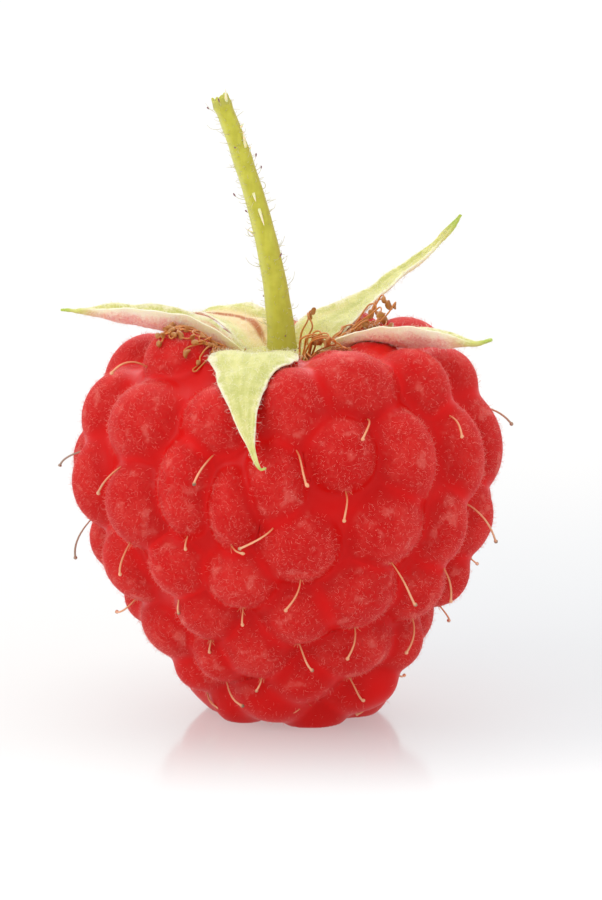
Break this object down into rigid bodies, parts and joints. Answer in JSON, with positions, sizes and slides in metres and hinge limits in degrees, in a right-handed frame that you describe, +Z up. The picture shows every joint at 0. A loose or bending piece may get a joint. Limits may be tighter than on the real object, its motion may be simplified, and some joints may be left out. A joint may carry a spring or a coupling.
{
  "type": "raspberry",
  "caption": "Ripe red raspberry as picked, with its pointed sepals, dried stamens and a length of stem, standing on its blunt tip.",
  "frame": {"origin": "middle of the flat foot, where the lowest drupelets rest on the surface", "axes": "+Z up towards the stem, -Y the front where one sepal folds down over the berry, +X to the right seen from the front"},
  "size_m": [0.023, 0.0225, 0.0319],
  "materials": {
    "fruit_flesh": "soft gloss, juicy flesh under a skin with fine pale hairs",
    "sepal_felt": "matt felt of fine hairs",
    "stem_skin": "smooth green bark with fine hairs",
    "style_thread": "dried thread",
    "stamen_thread": "dried thread and anther"
  },
  "bodies": {
    "root": {"calyx_disc": "sepal_felt", "fruit": "fruit_flesh", "peduncle": "stem_skin", "sepal_back_left": "sepal_felt", "sepal_back_right": "sepal_felt", "sepal_front": "sepal_felt", "sepal_left": "sepal_felt", "sepal_right": "sepal_felt", "stamen_01": "stamen_thread", "stamen_02": "stamen_thread", "stamen_03": "stamen_thread", "stamen_04": "stamen_thread", "stamen_05": "stamen_thread", "stamen_06": "stamen_thread", "stamen_07": "stamen_thread", "stamen_08": "stamen_thread", "stamen_09": "stamen_thread", "stamen_10": "stamen_thread", "stamen_11": "stamen_thread", "stamen_12": "stamen_thread", "stamen_13": "stamen_thread", "stamen_14": "stamen_thread", "stamen_15": "stamen_thread", "stamen_16": "stamen_thread", "stamen_17": "stamen_thread", "stamen_18": "stamen_thread", "stamen_19": "stamen_thread", "stamen_20": "stamen_thread", "style_01": "style_thread", "style_02": "style_thread", "style_03": "style_thread", "style_04": "style_thread", "style_05": "style_thread", "style_06": "style_thread", "style_07": "style_thread", "style_08": "style_thread", "style_09": "style_thread", "style_10": "style_thread", "style_11": "style_thread", "style_12": "style_thread", "style_13": "style_thread", "style_14": "style_thread", "style_15": "style_thread", "style_16": "style_thread", "style_17": "style_thread", "style_18": "style_thread", "style_19": "style_thread", "style_20": "style_thread", "style_21": "style_thread", "style_22": "style_thread"}
  },
  "joints": []
}
